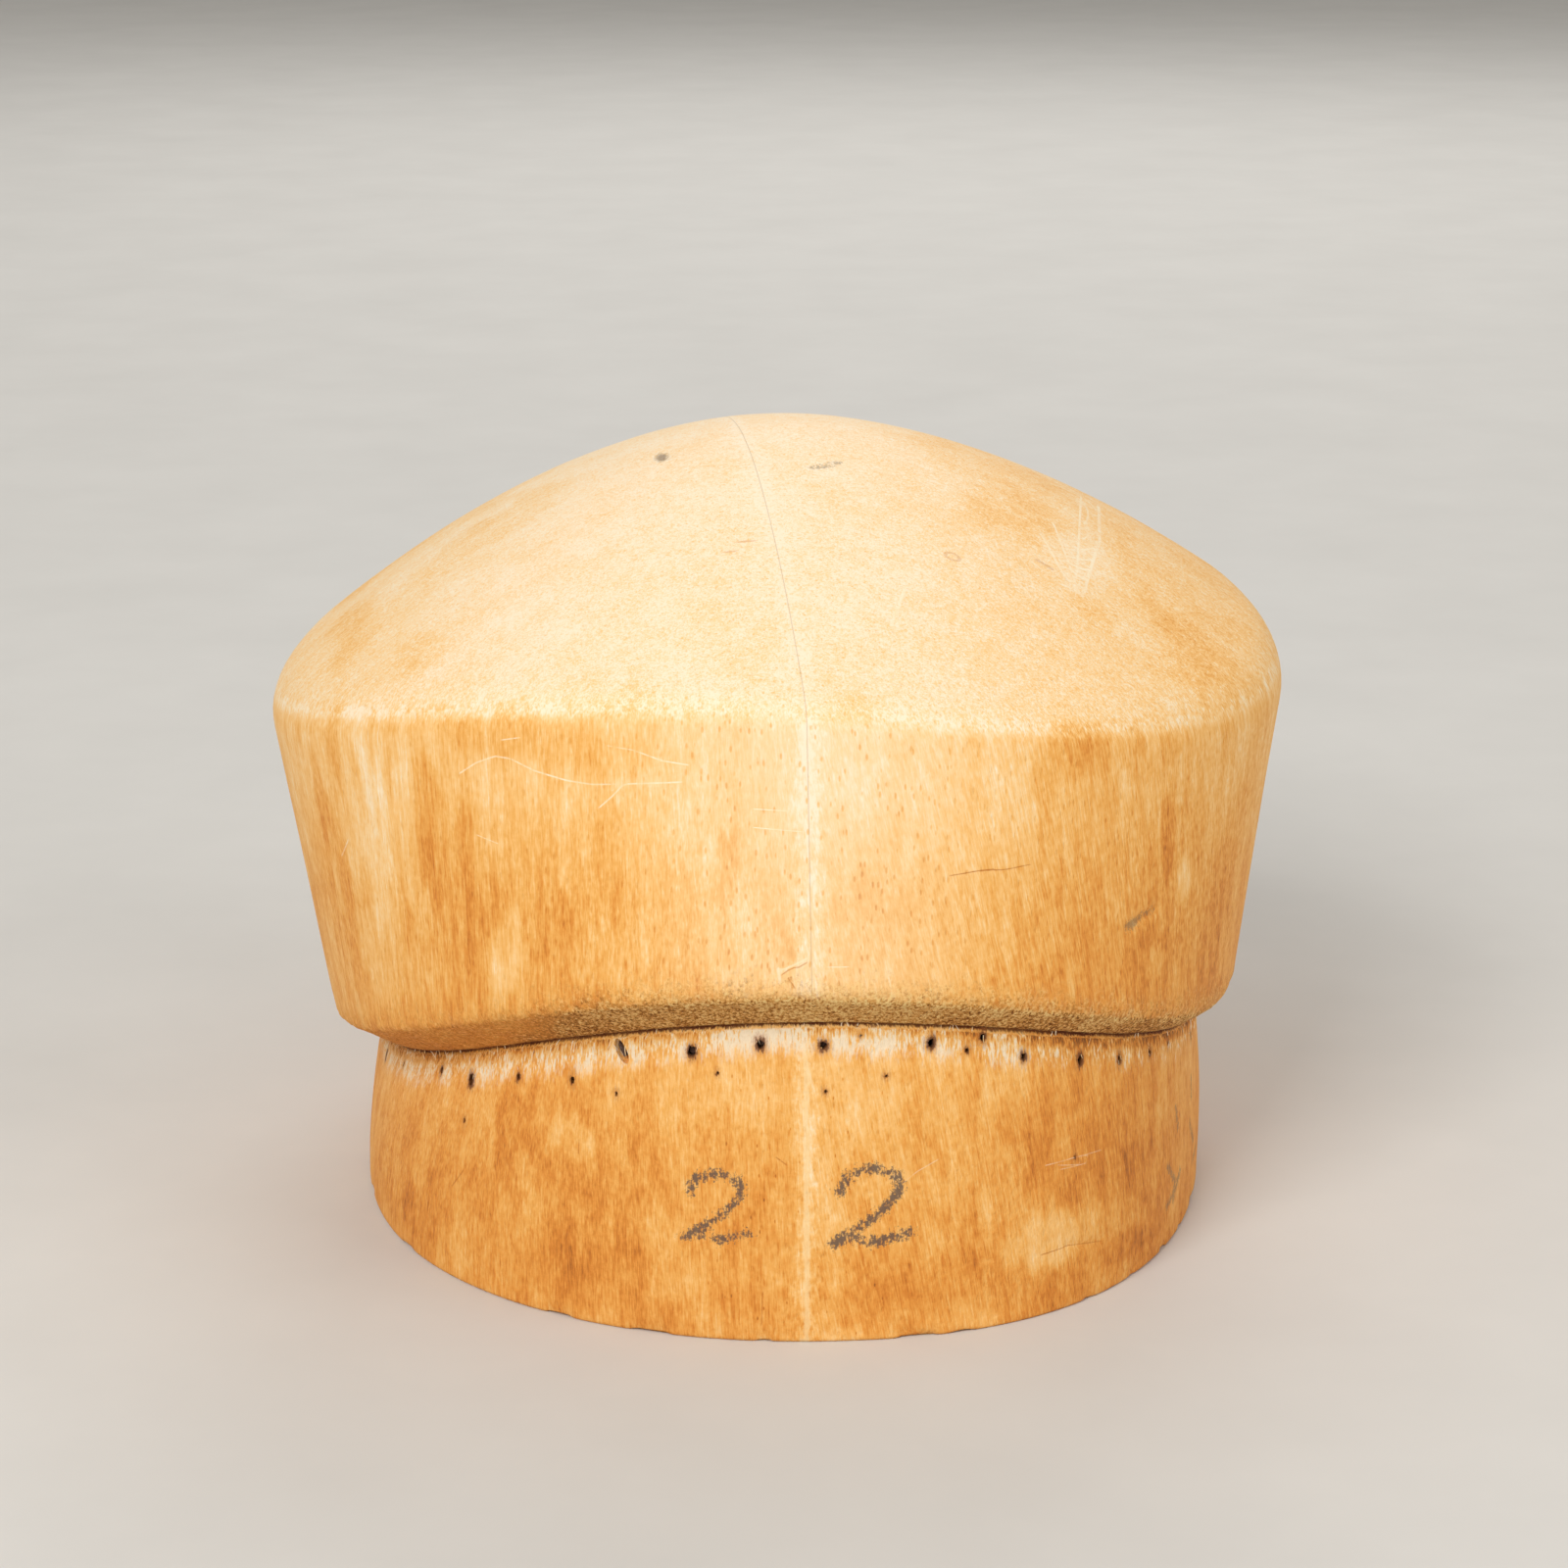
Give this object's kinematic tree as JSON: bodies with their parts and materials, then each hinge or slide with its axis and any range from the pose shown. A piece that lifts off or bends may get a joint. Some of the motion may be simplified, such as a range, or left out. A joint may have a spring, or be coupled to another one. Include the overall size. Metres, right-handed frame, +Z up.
{
  "type": "hat block",
  "caption": "Milliner's wooden hat block with a high domed crown, a saddle-shaped rope line and a collar on a flat foot, glued up from two halves.",
  "frame": {"origin": "centre of the flat foot, on the surface the block stands on, under the middle of the crown", "axes": "+Z up through the crown, +X to the right across the block as seen from the front, front of the block towards -Y, +Y along the oval to the back"},
  "size_m": [0.1913, 0.2034, 0.1435],
  "materials": {
    "left_wood": "pale hardwood under old varnish, worn, a little warmer",
    "right_wood": "pale hardwood under old varnish, worn",
    "dowel_wood": "bare turned hardwood",
    "nail_steel": "dull grey, scratched bright at the bend",
    "rusty_steel": "rusted dark brown"
  },
  "bodies": {
    "root": {"left_half": "left_wood", "right_half": "right_wood", "dowel_front_low": "dowel_wood", "dowel_front_high": "dowel_wood", "dowel_back_low": "dowel_wood", "dowel_back_high": "dowel_wood", "bent_nail": "nail_steel", "broken_pin_1": "rusty_steel", "broken_pin_2": "rusty_steel", "broken_pin_3": "rusty_steel", "broken_pin_4": "rusty_steel"}
  },
  "joints": []
}
